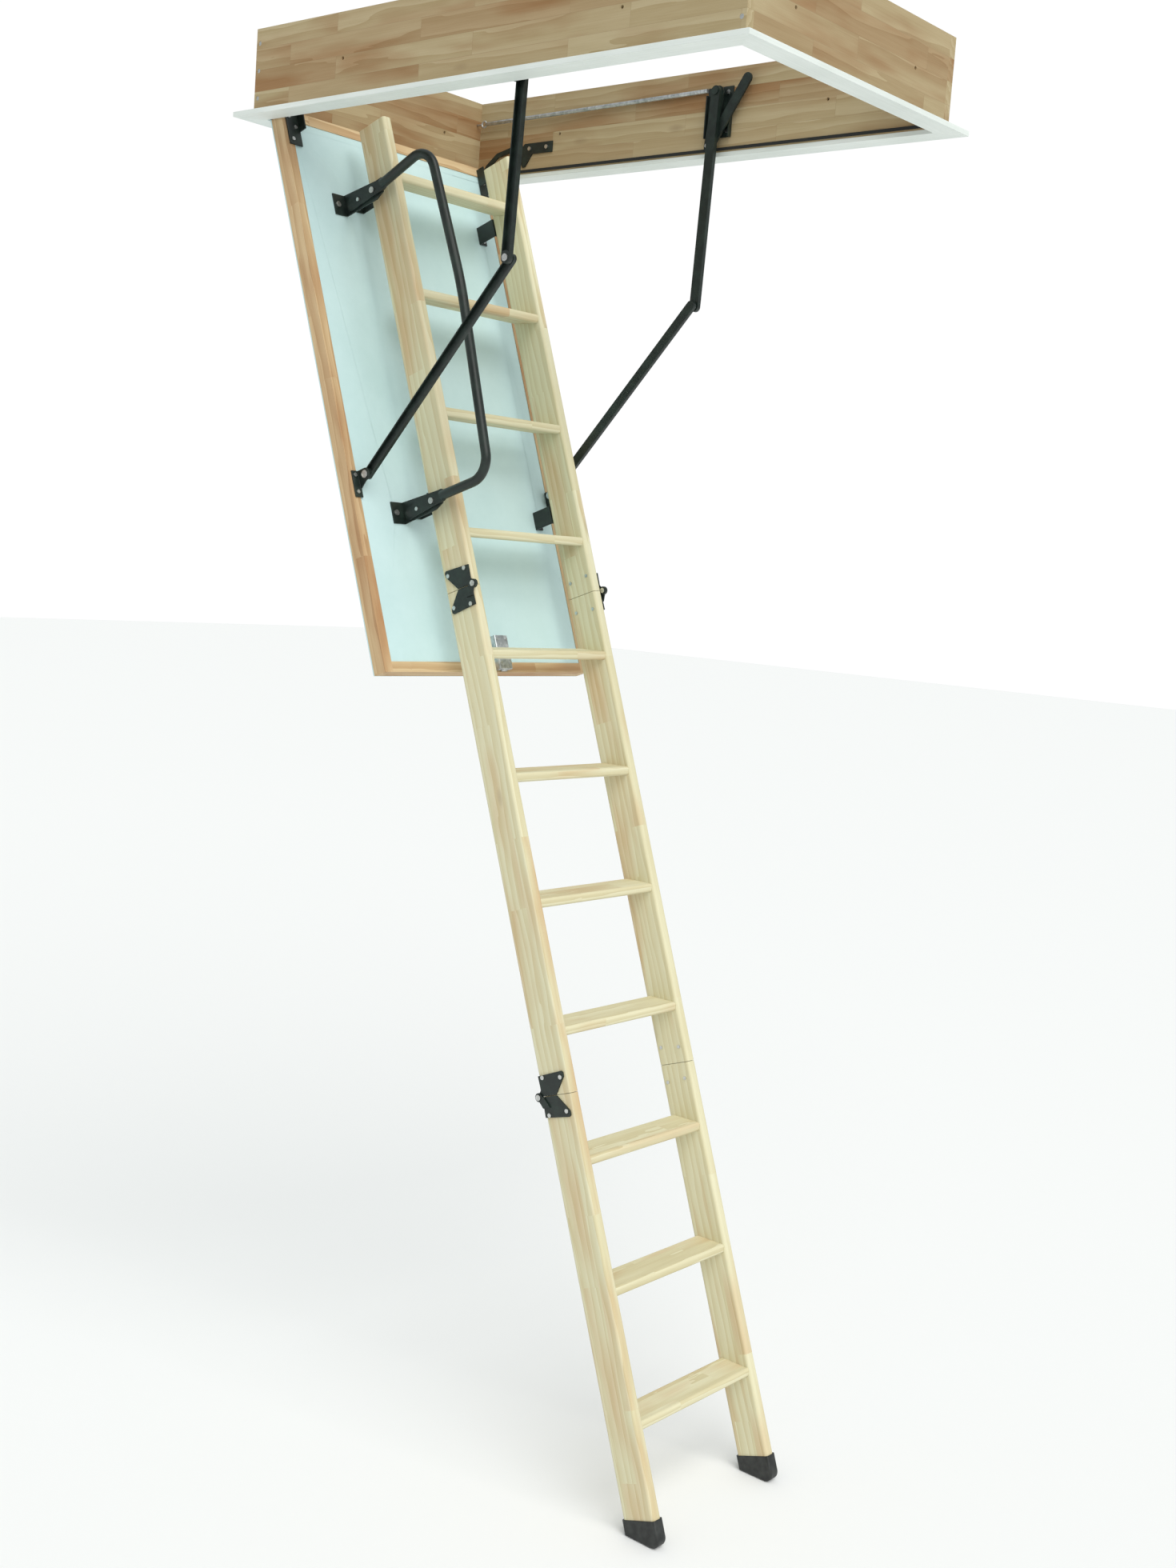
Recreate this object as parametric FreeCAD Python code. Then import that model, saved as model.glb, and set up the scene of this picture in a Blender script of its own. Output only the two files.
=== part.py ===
import FreeCAD, Part
import math
import os

Vector = FreeCAD.Vector
os.makedirs("parts", exist_ok=True)

# ---------------------------------------------------------------------------
# Driving dimensions, millimetres.
# X runs along the casing from its hinge end to its free end, Y across it, Z up.
# The origin is the centre of the casing's opening, in the plane of the ceiling.
# ---------------------------------------------------------------------------

# Casing: four boards on edge, with a flat trim frame under them
opening_length = 1220.0
opening_width = 636.0
board_thickness = 20.0
board_height = 170.0
trim_width = 50.0
trim_thickness = 10.0
trim_rebate = 1.0
seal_height = 6.0
seal_lip = 2.5
seal_rise = 2.0

# Hatch: softwood rails round a foam core, a thin board on each face
hatch_thickness = 36.0
hatch_hinge_gap = 5.0
hatch_edge_gap = 4.0
hatch_rail_width = 22.0
hatch_panel_thickness = 3.0
hatch_panel_recess = 1.5

# Hatch hinge: its axis, from the hinge-end board's face and from the ceiling plane
hinge_inset = 11.0
hinge_height = -3.0
hinge_pin_radius = 3.0
hinge_pin_depth = 26.0
open_angle = 70.0

# Ladder, measured along the stiles (s), across (y) and square to the hatch (n)
ladder_offset = 54.0
inner_width = 360.0
stile_depth = 80.0
stile_thickness = 24.0
stile_rounding = 7.0
stile_gap = 50.0
first_tread = 151.0
tread_pitch = 260.0
tread_depth = 74.0
tread_thickness = 19.0
tread_rounding = 6.0
tread_setback = 2.0
tread_housing = 8.0
housing_clearance = 0.15
stile_head = 118.0
upper_joint = 902.0
lower_joint = 1948.0
stile_foot = 2794.0
joint_gap = 1.0
upper_treads = 4
middle_treads = 4
lower_treads = 3

# Fold joints: a pair of plates on each stile's outer face, pinned proud of one edge
fold_pin_proud = 4.0
fold_pin_radius = 3.5
fold_ear_radius = 9.0
fold_plate_thickness = 3.0
fold_plate_length = 46.0
fold_plate_span = 70.0
rivet_radius = 2.5
rivet_head_radius = 4.5
rivet_head_height = 2.0

# Feet: moulded caps over the lower ends of the stiles
foot_wall = 2.0
foot_grip = 12.0
foot_sole = 18.0

# Opening arms on each side: crank on the casing, clevis on the hatch
crank_x = 706.0
crank_z = 118.0
knee_x = 692.0
knee_z = -323.0
clevis_s = 795.0
clevis_rise = 22.0
upper_arm_width = 22.0
upper_arm_thickness = 10.0
lower_arm_width = 20.0
lower_arm_thickness = 9.0
arm_wall = 2.5
arm_layer_gap = 3.0
arm_board_gap = 19.0
crank_thickness = 4.0
crank_tip_x = 778.0
crank_tip_z = 139.0
crank_foot_x = 692.0
crank_foot_z = 8.0
arm_pin_radius = 5.0
arm_pin_head_radius = 8.0
arm_pin_head_height = 2.5

# Handrail: one bent tube on two pressed brackets beside the near stile
rail_tube_radius = 10.0
rail_offset = 236.0
rail_rise = 153.0
rail_bracket_thickness = 3.0

steel = 3.0
running_clearance = 0.05
screw_radius = 2.2
fixing_hole_radius = 3.5

# ---------------------------------------------------------------------------
# Places worked out from those sizes
# ---------------------------------------------------------------------------

half_length = opening_length / 2.0
half_width = opening_width / 2.0
hinge_x = hinge_inset - half_length
theta = math.radians(open_angle)
cos_open = math.cos(theta)
sin_open = math.sin(theta)

# Hatch faces and ends in its own axes, which start at the hinge axis
hatch_low = -trim_thickness - hinge_height
hatch_face = hatch_low + hatch_thickness
hatch_start = hatch_hinge_gap - hinge_inset
hatch_end = opening_length - hatch_edge_gap - hinge_inset
hatch_half = half_width - hatch_edge_gap

# Ladder levels above the hatch, and its two sides
stile_back = hatch_face + stile_gap
stile_front = stile_back + stile_depth
tread_front = stile_front - tread_setback
stile_inner = inner_width / 2.0
stile_outer = stile_inner + stile_thickness

# Thickness layers of the arms, from the board inwards
upper_arm_face = half_width - arm_board_gap
upper_arm_inner = upper_arm_face - upper_arm_thickness
lower_arm_face = upper_arm_inner - arm_layer_gap
lower_arm_inner = lower_arm_face - lower_arm_thickness
crank_face = upper_arm_face + 1.0 + crank_thickness
clevis_n = hatch_face + clevis_rise

nodes = {}


def add(name, *solids):
    """Keep one sub-part: a solid, or a group of separate solids."""
    shape = solids[0] if len(solids) == 1 else Part.makeCompound(list(solids))
    nodes[name] = shape


def box(x0, x1, y0, y1, z0, z1):
    return Part.makeBox(x1 - x0, y1 - y0, z1 - z0, Vector(x0, y0, z0))


def edges_along(body, along):
    """The straight edges of a body that run along one direction."""
    edges = []
    for edge in body.Edges:
        run = edge.Vertexes[1].Point.sub(edge.Vertexes[0].Point)
        if abs(run.normalize().dot(along)) > 0.99:
            edges.append(edge)
    return edges


def rounded_box(x0, x1, y0, y1, z0, z1, radius, along):
    """A box with the four edges that run along one axis rounded."""
    body = box(x0, x1, y0, y1, z0, z1)
    return body.makeFillet(radius, edges_along(body, along))


def plate(points, y0, y1):
    """A flat plate: an outline in X and Z, given a thickness along Y."""
    corners = [Vector(x, y0, z) for x, z in points]
    face = Part.Face(Part.makePolygon(corners + [corners[0]]))
    return face.extrude(Vector(0, y1 - y0, 0))


def pin(x, z, radius, y0, y1):
    low, high = min(y0, y1), max(y0, y1)
    return Part.makeCylinder(radius, high - low, Vector(x, low, z), Vector(0, 1, 0))


def strap(x0, z0, x1, z1, width, y0, y1):
    """A flat bar with round ends, from one centre to another."""
    length = math.hypot(x1 - x0, z1 - z0)
    ux = (x1 - x0) / length
    uz = (z1 - z0) / length
    half = width / 2.0
    corners = [
        (x0 - uz * half, z0 + ux * half),
        (x1 - uz * half, z1 + ux * half),
        (x1 + uz * half, z1 - ux * half),
        (x0 + uz * half, z0 - ux * half),
    ]
    low, high = min(y0, y1), max(y0, y1)
    bar = plate(corners, low, high)
    for x, z in ((x0, z0), (x1, z1)):
        bar = bar.fuse(pin(x, z, half, low, high))
    return bar.removeSplitter()


def opened(shape):
    """Turn a shape from the hatch's own axes to its open place below the casing."""
    turned = shape.copy()
    turned.rotate(Vector(0, 0, 0), Vector(0, 1, 0), open_angle)
    turned.translate(Vector(hinge_x, 0, hinge_height))
    return turned


def to_hatch(dx, dz):
    """A step in world X and Z, in the open hatch's own s and n."""
    return dx * cos_open - dz * sin_open, dx * sin_open + dz * cos_open


def from_casing_end(x):
    """X of a point that is given from the hinge-end board's face."""
    return x - half_length


# ---------------------------------------------------------------------------
# Casing boards: the long pair runs through, the end pair is screwed between it
# ---------------------------------------------------------------------------

outer_x = half_length + board_thickness
outer_y = half_width + board_thickness
fixing_span = 720.0
fixing_end_span = 400.0
fixing_z = 80.0


def round_hole(x, y, z, radius, direction):
    """A bore square through one board."""
    start = Vector(x, y, z).sub(Vector(direction).multiply(board_thickness))
    return Part.makeCylinder(radius, 2 * board_thickness, start, direction)


corner_screw_heights = (30.0, 85.0, 140.0)
corner_screw_length = 50.0
screw_head_radius = 4.5
screw_head_height = 3.0
countersink = 0.5


def corner_screws():
    """Screws through each long board into the ends of the end boards."""
    screws = []
    for end in (-1, 1):
        for side in (-1, 1):
            for z in corner_screw_heights:
                x = end * (half_length + board_thickness / 2.0)
                head_y = side * (outer_y - countersink)
                inward = Vector(0, -side, 0)
                head = Part.makeCylinder(screw_head_radius, screw_head_height, Vector(x, head_y, z), inward)
                shank = Part.makeCylinder(screw_radius, corner_screw_length, Vector(x, head_y, z), inward)
                screws.append(head.fuse(shank).removeSplitter())
    return screws


def head_recesses():
    """The countersunk pockets over the heads of the corner screws."""
    pockets = []
    for end in (-1, 1):
        for side in (-1, 1):
            for z in corner_screw_heights:
                x = end * (half_length + board_thickness / 2.0)
                start = Vector(x, side * outer_y, z)
                depth = countersink + screw_head_height
                pockets.append(Part.makeCylinder(screw_head_radius, depth, start, Vector(0, -side, 0)))
    return pockets


board_screws = corner_screws()
screw_space = Part.makeCompound(board_screws + head_recesses())
bracket_screw_depth = 15.0
keeper_y = 30.0
keeper_half = 16.0
keeper_recess = 12.0

for name, side in (("board_near", -1), ("board_far", 1)):
    y0, y1 = sorted((side * half_width, side * outer_y))
    board = box(-outer_x, outer_x, y0, y1, -trim_rebate, board_height)
    for x in (-fixing_span / 2, fixing_span / 2):
        board = board.cut(round_hole(x, side * half_width, fixing_z, fixing_hole_radius, Vector(0, 1, 0)))
    nodes[name] = board.cut(screw_space)

for name, end in (("board_hinge_end", -1), ("board_free_end", 1)):
    x0, x1 = sorted((end * half_length, end * outer_x))
    board = box(x0, x1, -half_width, half_width, -trim_rebate, board_height)
    for y in (-fixing_end_span / 2, fixing_end_span / 2):
        board = board.cut(round_hole(end * half_length, y, fixing_z, fixing_hole_radius, Vector(1, 0, 0)))
    nodes[name] = board.cut(screw_space)

# Trim: four flat strips, mitred at the corners and rebated to take the boards' lower edges

trim_x = half_length + trim_width
trim_y = half_width + trim_width
rebate = box(-outer_x, outer_x, -outer_y, outer_y, -trim_rebate, trim_rebate)


def trim_strip(inner, outer):
    """One mitred strip: its inner edge's two ends, then its outer edge's."""
    corners = [Vector(x, y, -trim_thickness) for x, y in (inner[0], inner[1], outer[1], outer[0])]
    face = Part.Face(Part.makePolygon(corners + [corners[0]]))
    return face.extrude(Vector(0, 0, trim_thickness)).cut(rebate)


for name, side in (("trim_near", -1), ("trim_far", 1)):
    inner = [(-half_length, side * half_width), (half_length, side * half_width)]
    outer = [(-trim_x, side * trim_y), (trim_x, side * trim_y)]
    add(name, trim_strip(inner, outer))
for name, end in (("trim_hinge_end", -1), ("trim_free_end", 1)):
    inner = [(end * half_length, -half_width), (end * half_length, half_width)]
    outer = [(end * trim_x, -trim_y), (end * trim_x, trim_y)]
    add(name, trim_strip(inner, outer))

# Seal: a lip strip stapled inside each board, which the closed hatch's edge brushes

seal_start = -half_length + 40.0
seals = []
for side in (-1, 1):
    y0, y1 = sorted((side * half_width, side * (half_width - seal_lip)))
    seals.append(box(seal_start, half_length - seal_lip, y0, y1, seal_rise, seal_rise + seal_height))
seals.append(box(half_length - seal_lip, half_length, -half_width, half_width,
                 seal_rise, seal_rise + seal_height))
add("hatch_seal", *seals)

# ---------------------------------------------------------------------------
# Hatch, built in its own axes as if shut, then swung down about the hinge axis
# ---------------------------------------------------------------------------

rail_top = hatch_face
rail_low = hatch_low + hatch_panel_thickness
core_x0 = hatch_start + hatch_rail_width
core_x1 = hatch_end - hatch_rail_width
core_half = hatch_half - hatch_rail_width
panel_top = hatch_face - hatch_panel_recess
panel_low = panel_top - hatch_panel_thickness

hinge_pins = []
pin_holes = []
for side in (-1, 1):
    tip = half_width - 0.5
    hinge_pins.append(pin(0, 0, hinge_pin_radius, side * (hatch_half - hinge_pin_depth), side * tip))
    pin_holes.append(pin(0, 0, hinge_pin_radius + running_clearance,
                         side * (hatch_half - hinge_pin_depth), side * tip))
pin_holes = Part.makeCompound(pin_holes)
add("hatch_hinge_pins", *[opened(shape) for shape in hinge_pins])

side_rails = []
for side in (-1, 1):
    y0, y1 = sorted((side * core_half, side * hatch_half))
    side_rails.append(opened(box(hatch_start, hatch_end, y0, y1, rail_low, rail_top).cut(pin_holes)))
add("hatch_side_rails", *side_rails)
end_rails = [
    opened(box(hatch_start, core_x0, -core_half, core_half, rail_low, rail_top).cut(pin_holes)),
    opened(box(core_x1, hatch_end, -core_half, core_half, rail_low, rail_top)),
]
add("hatch_end_rails", *end_rails)
add("hatch_core", opened(box(core_x0, core_x1, -core_half, core_half, rail_low, panel_low)))
add("hatch_top_panel", opened(box(core_x0, core_x1, -core_half, core_half, panel_low, panel_top)))
add("hatch_bottom_panel", opened(box(hatch_start, hatch_end, -hatch_half, hatch_half, hatch_low, rail_low)))

# Corner plates: pressed angles riveted inside the hatch's two hinge corners

hatch_fasteners = []
angle_width = 34.0
angle_length = 72.0
angle_height = 22.0
angle_y = hatch_half - 8.0
corner_plates = []


def stud(s, y, n, depth, head_radius=4.0, head_height=2.0, radius=screw_radius):
    """A screw or rivet set square to the hatch: a head above n and a shank below it."""
    head = Part.makeCylinder(head_radius, head_height, Vector(s, y, n), Vector(0, 0, 1))
    shank = Part.makeCylinder(radius, depth + head_height, Vector(s, y, n - depth), Vector(0, 0, 1))
    return head.fuse(shank).removeSplitter()


angle_rivets = ((16.0, 8.0), (38.0, 22.0), (66.0, 10.0))
for side in (-1, 1):
    outer_edge = side * angle_y
    inner_edge = side * (angle_y - angle_width)
    y0, y1 = sorted((outer_edge, inner_edge))
    flange = box(hatch_start + 6.0, hatch_start + 6.0 + angle_length, y0, y1, hatch_face, hatch_face + steel)
    y0, y1 = sorted((inner_edge, inner_edge + side * steel))
    upright = box(hatch_start + 6.0, hatch_start + 46.0, y0, y1, hatch_face, hatch_face + angle_height)
    angle = flange.fuse(upright).removeSplitter()
    for s, inset in angle_rivets:
        rivet = stud(hatch_start + s, side * (angle_y - inset), hatch_face + steel, steel + 12.0)
        angle = angle.cut(rivet)
        hatch_fasteners.append(rivet)
    corner_plates.append(angle)

# Clevises that take the lower arms, screwed to the side rails' inner edge

clevis_length = 56.0
clevis_radius = 13.0
ear_inner = lower_arm_face + 1.0
ear_outer = ear_inner + steel
clevises = []
for side in (-1, 1):
    y0, y1 = sorted((side * ear_inner, side * ear_outer))
    outline = [
        (clevis_s - clevis_radius, clevis_n),
        (clevis_s + clevis_radius, clevis_n),
        (clevis_s + clevis_radius + 14.0, hatch_face),
        (clevis_s - clevis_radius, hatch_face),
    ]
    ear = plate(outline, y0, y1).fuse(pin(clevis_s, clevis_n, clevis_radius, y0, y1))
    f0, f1 = sorted((side * ear_inner, side * (ear_inner + 20.0)))
    foot = box(clevis_s - clevis_radius, clevis_s - clevis_radius + clevis_length, f0, f1,
               hatch_face, hatch_face + steel)
    clevis = ear.fuse(foot).removeSplitter()
    clevis = clevis.cut(pin(clevis_s, clevis_n, arm_pin_radius + running_clearance, y0, y1))
    for s in (clevis_s - 4.0, clevis_s + 32.0):
        screw = stud(s, side * (ear_inner + 12.0), hatch_face + steel, steel + 16.0)
        clevis = clevis.cut(screw)
        hatch_fasteners.append(screw)
    clevises.append(clevis)
add("arm_clevises", *[opened(shape) for shape in clevises])

# Spacers: four pressed channels that hold the upper stiles off the hatch

spacer_length = 40.0
spacer_flange = 26.0
spacer_screw_step = 12.0
spacer_screw_inset = 11.0
spacer_places = (first_tread + 19.0, first_tread + 702.0)
panel_face = hatch_face - hatch_panel_recess
spacers = []
panel_screws = []
stile_screws = []
for side in (-1, 1):
    web_y = ladder_offset + side * (stile_inner + steel)
    for centre in spacer_places:
        s0 = centre - spacer_length / 2.0
        s1 = centre + spacer_length / 2.0
        y0, y1 = sorted((web_y, web_y - side * steel))
        web = box(s0, s1, y0, y1, panel_face, stile_back)
        y0, y1 = sorted((web_y, web_y + side * (spacer_flange - 2 * steel)))
        head = box(s0, s1, y0, y1, stile_back - steel, stile_back)
        y0, y1 = sorted((web_y, web_y + side * (spacer_flange - 2 * steel)))
        foot = box(s0, s1, y0, y1, panel_face, panel_face + steel)
        spacer = web.fuse(head).fuse(foot).removeSplitter()
        screw_y = web_y + side * spacer_screw_inset
        for s in (centre - spacer_screw_step, centre + spacer_screw_step):
            low = stud(s, screw_y, panel_face + steel, steel + 15.0)
            spacer = spacer.cut(low)
            panel_screws.append(low)
        high = stud(centre, screw_y, -(stile_back - steel), steel + 20.0)
        high.rotate(Vector(centre, screw_y, 0), Vector(1, 0, 0), 180.0)
        stile_screws.append(high)
        spacers.append(spacer.cut(high))
add("spacer_brackets", *[opened(shape) for shape in spacers])
add("spacer_screws", *[opened(shape) for shape in panel_screws + stile_screws])

# Latch: a pressed case with a sliding bolt near the hatch's free end

latch_length = 74.0
latch_half = 20.0
latch_height = 16.0
bolt_half = 8.0
bolt_height = 8.0
bolt_lift = 4.0
latch_s1 = hatch_end - 4.0
latch_s0 = latch_s1 - latch_length
bolt_n0 = hatch_face + bolt_lift
bolt_n1 = bolt_n0 + bolt_height
latch_wall = 2.0
bolt_clearance = 0.4
keeper_clearance = 3.0
keeper_border = 8.0
keeper_plate_thickness = 1.0
case = rounded_box(latch_s0, latch_s1, keeper_y - latch_half, keeper_y + latch_half,
                   panel_face, hatch_face + latch_height, 3.0, Vector(1, 0, 0))
case = case.cut(box(latch_s0 - 1.0, latch_s1 + 1.0, -half_width, half_width,
                    hatch_low, hatch_face))
cavity = box(latch_s0 + latch_wall, latch_s1 + 1.0, keeper_y - bolt_half - bolt_clearance,
             keeper_y + bolt_half + bolt_clearance, bolt_n0 - bolt_clearance, bolt_n1 + bolt_clearance)
case = case.cut(cavity)
for s in (latch_s0 + 8.0, latch_s1 - 14.0):
    for y in (keeper_y - 14.0, keeper_y + 14.0):
        screw = stud(s, y, hatch_face + latch_height, latch_height + 14.0, 3.2, 1.5, 1.8)
        case = case.cut(screw)
        hatch_fasteners.append(screw)
add("latch_case", opened(case))
bolt = box(latch_s0 + latch_wall + 14.0, hatch_end - 1.0, keeper_y - bolt_half, keeper_y + bolt_half,
           bolt_n0, bolt_n1)
bevel = plate([(hatch_end - 7.0, bolt_n1 + 1.0), (hatch_end, bolt_n1 + 1.0), (hatch_end, bolt_n0 + 3.0)],
              keeper_y - bolt_half - 1.0, keeper_y + bolt_half + 1.0)
add("latch_bolt", opened(bolt.cut(bevel)))

# Keeper: a lipped plate let into the free-end board, where the bolt goes in
keeper_low = hinge_height + bolt_n0 - keeper_clearance
keeper_high = hinge_height + bolt_n1 + keeper_clearance
keeper_plate_half = keeper_half + 10.0
keeper_slot_half = keeper_half - 4.0
keeper_plate = box(half_length - keeper_plate_thickness, half_length, keeper_y - keeper_plate_half,
                   keeper_y + keeper_plate_half, keeper_low - keeper_border, keeper_high + keeper_border)
keeper_slot = box(half_length - 2 * keeper_plate_thickness, half_length + keeper_recess,
                  keeper_y - keeper_slot_half, keeper_y + keeper_slot_half, keeper_low, keeper_high)
keeper_plate = keeper_plate.cut(keeper_slot)
nodes["board_free_end"] = nodes["board_free_end"].cut(keeper_slot)
seal_gap = box(half_length - 2 * seal_lip, half_length, keeper_y - keeper_plate_half - 1.0,
               keeper_y + keeper_plate_half + 1.0, 0, board_height)
nodes["hatch_seal"] = nodes["hatch_seal"].cut(seal_gap)
add("latch_keeper", keeper_plate)

# ---------------------------------------------------------------------------
# Ladder: stiles in three lengths, treads housed level into them
# ---------------------------------------------------------------------------


def tread_prism(index, grow):
    """A tread that reaches into both stiles, level when the ladder is open.

    Grown all round by a clearance, it is the housing that is cut for it.
    """
    s = first_tread + index * tread_pitch
    half = stile_inner + tread_housing
    outline = []
    for dx, dz in ((grow, grow), (grow, -tread_thickness - grow),
                   (-tread_depth - grow, -tread_thickness - grow), (-tread_depth - grow, grow)):
        ds, dn = to_hatch(dx, dz)
        outline.append((s + ds, tread_front + dn))
    body = plate(outline, ladder_offset - half, ladder_offset + half)
    radius = min(tread_rounding, tread_thickness / 2.0 - 1.0)
    edges = [edge for edge in body.Edges if abs(edge.Length - 2 * half) < 1e-6]
    return body.makeFillet(radius + grow, edges)


def stile(side, s0, s1):
    """A stile length with its four long edges rounded."""
    centre = ladder_offset + side * (stile_inner + stile_thickness / 2.0)
    y0 = centre - stile_thickness / 2.0
    y1 = centre + stile_thickness / 2.0
    return rounded_box(s0, s1, y0, y1, stile_back, stile_front, stile_rounding, Vector(1, 0, 0))


sections = [
    ("upper", -stile_head, upper_joint - joint_gap / 2.0, range(0, upper_treads)),
    ("middle", upper_joint + joint_gap / 2.0, lower_joint - joint_gap / 2.0,
     range(upper_treads, upper_treads + middle_treads)),
    ("lower", lower_joint + joint_gap / 2.0, stile_foot,
     range(upper_treads + middle_treads, upper_treads + middle_treads + lower_treads)),
]

# Fold joints. Each leaf is drawn about its pin: a runs away along the stile, b across it.

upper_pin_n = stile_front + fold_pin_proud
lower_pin_n = stile_back - fold_pin_proud
leaf_near = 12.0
leaf_edge = 3.0
leaf_lift = 0.3
leaf_gap = 1.0
leaf_inner_reach = 46.0
leaf_step_end = 23.0
leaf_far = fold_pin_proud + fold_plate_span
leaf_rivets = ((38.0, 18.0), (34.0, 66.0))


def leaf(pin_s, pin_n, side, along, across, joggled):
    """One hinge plate: a body on the stile's face and an ear round the pin.

    along is +1 for the leaf below the pin, across is +1 where the stile lies at higher n.
    A joggled leaf's ear steps out over the plain leaf's ear.
    """
    face = ladder_offset + side * stile_outer
    skin = side * fold_plate_thickness
    reach = fold_pin_proud + leaf_edge

    def place(points):
        return [(pin_s + along * a, pin_n + across * b) for a, b in points]

    y0, y1 = sorted((face, face + skin))
    outline = [(leaf_gap, leaf_near + 1.0), (leaf_near, reach), (fold_plate_length - 4.0, reach - 1.0),
               (fold_plate_length, leaf_far - 4.0), (fold_plate_length - 3.0, leaf_far),
               (fold_plate_length - 12.0, leaf_far), (leaf_gap, leaf_inner_reach)]
    body = plate(place(outline), y0, y1)
    if joggled:
        lift = skin + side * leaf_lift
        e0, e1 = sorted((face + lift, face + lift + skin))
        ear = pin(pin_s, pin_n, fold_ear_radius, e0, e1)
        arm = [(0.0, -fold_ear_radius * 0.5), (leaf_step_end, reach), (leaf_step_end, reach + 18.0),
               (leaf_gap, leaf_near + 1.0), (-3.0, fold_ear_radius * 0.8)]
        ear = ear.fuse(plate(place(arm), e0, e1))
        b0, b1 = sorted((face, face + lift + skin))
        step = [(leaf_near + 2.0, reach + 1.0), (leaf_step_end, reach + 1.0),
                (leaf_step_end, reach + 15.0), (leaf_near + 2.0, reach + 15.0)]
        body = body.fuse(plate(place(step), b0, b1)).fuse(ear)
    else:
        arm = [(0.0, -fold_ear_radius * 0.5), (leaf_near + 2.0, reach), (leaf_near + 6.0, reach + 16.0),
               (leaf_gap, leaf_near + 2.0), (leaf_gap, fold_ear_radius * 0.8)]
        body = body.fuse(pin(pin_s, pin_n, fold_ear_radius, y0, y1)).fuse(plate(place(arm), y0, y1))
    return body.removeSplitter()


def through_rivet(s, n, side):
    """A rivet through a leaf and its stile, with a dome outside and a tail inside."""
    face = ladder_offset + side * (stile_outer + fold_plate_thickness)
    inner = ladder_offset + side * stile_inner
    shank = pin(s, n, rivet_radius, inner - side * 1.5, face + side * rivet_head_height)
    head = pin(s, n, rivet_head_radius, face, face + side * rivet_head_height)
    tail = pin(s, n, rivet_radius + 1.2, inner - side * 1.5, inner)
    return shank.fuse(head).fuse(tail).removeSplitter()


def fold_pin(s, n, side):
    """The pin of one fold joint, headed at both ends, through both ears."""
    face = ladder_offset + side * stile_outer
    stack = 2 * (fold_plate_thickness + leaf_lift)
    shank = pin(s, n, fold_pin_radius, face - side * 2.0, face + side * (stack + 2.0))
    head = pin(s, n, 6.0, face + side * stack, face + side * (stack + 2.0))
    tail = pin(s, n, 5.5, face - side * 2.0, face - side * 0.3)
    return shank.fuse(head).fuse(tail).removeSplitter()


leaves = {"upper": [], "middle": [], "lower": []}
rivets = {"upper": [], "middle": [], "lower": []}
joints = (
    ("upper", "middle", upper_joint, upper_pin_n, -1),
    ("middle", "lower", lower_joint, lower_pin_n, 1),
)
for above, below, joint_s, joint_n, across in joints:
    pin_s = first_tread + joint_s
    for side in (-1, 1):
        pivot = fold_pin(pin_s, joint_n, side)
        plain = leaf(pin_s, joint_n, side, -1, across, False)
        ear_hole = pin(pin_s, joint_n, fold_pin_radius + running_clearance,
                       ladder_offset + side * stile_inner, ladder_offset + side * (stile_outer + 12.0))
        joggled = leaf(pin_s, joint_n, side, 1, across, True).cut(ear_hole)
        plain = plain.cut(pivot)
        for along, holder, name in ((-1, plain, above), (1, joggled, below)):
            for a, b in leaf_rivets:
                rivet = through_rivet(pin_s + along * a, joint_n + across * b, side)
                holder = holder.cut(rivet)
                rivets[name].append(rivet)
            leaves[name].append(holder)
        rivets[above].append(pivot)

for name, s0, s1, indices in sections:
    holes = [tread_prism(i, housing_clearance) for i in indices]
    space = Part.makeCompound(holes + rivets[name] + (stile_screws if name == "upper" else []))
    for label, side in (("near", -1), ("far", 1)):
        body = stile(side, first_tread + s0, first_tread + s1).cut(space)
        add("stile_%s_%s" % (name, label), opened(body))
    for i in indices:
        add("tread_%02d" % (i + 1), opened(tread_prism(i, 0.0)))
    add("fold_plates_%s" % name, *[opened(shape) for shape in leaves[name]])
    add("joint_rivets_%s" % name, *[opened(shape) for shape in rivets[name]])

# Feet: caps with a sole that is level on the floor when the ladder is open

foot_start = first_tread + stile_foot - foot_grip
foot_toe_radius = 18.0
foot_rounding = 5.0
for label, side in (("near", -1), ("far", 1)):
    centre = ladder_offset + side * (stile_inner + stile_thickness / 2.0)
    y0 = centre - stile_thickness / 2.0 - foot_wall
    y1 = centre + stile_thickness / 2.0 + foot_wall
    back = stile_back - foot_wall
    front = stile_front + foot_wall
    slope = cos_open / sin_open
    sole_back = first_tread + stile_foot + foot_sole
    sole_front = sole_back + (front - back) * slope
    outline = [(foot_start, back), (sole_back, back), (sole_front, front), (foot_start, front)]
    cap = plate(outline, y0, y1)
    toe = [edge for edge in edges_along(cap, Vector(0, 1, 0)) if edge.BoundBox.XMin > sole_back]
    cap = cap.makeFillet(foot_toe_radius, toe)
    cap = cap.makeFillet(foot_rounding, edges_along(cap, Vector(1, 0, 0)))
    cap = cap.cut(stile(side, foot_start - 60.0, first_tread + stile_foot))
    add("foot_%s" % label, opened(cap))

# ---------------------------------------------------------------------------
# Hatch hinge brackets: a plate on each long board with an arm down to the hinge pin
# ---------------------------------------------------------------------------

casing_fasteners = list(board_screws)
bracket_eye = 7.0
bracket_x0 = from_casing_end(147.0)
bracket_x1 = from_casing_end(232.0)
bracket_z0 = 42.0
bracket_z1 = 66.0
bracket_screws = (from_casing_end(163.0), from_casing_end(215.0))
neck_width = 11.0
neck_points = [(bracket_x0 + 8.0, 56.0), (bracket_x0 - 40.0, 57.0), (from_casing_end(62.0), 47.0),
               (from_casing_end(32.0), 24.0), (hinge_x, hinge_height)]


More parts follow.
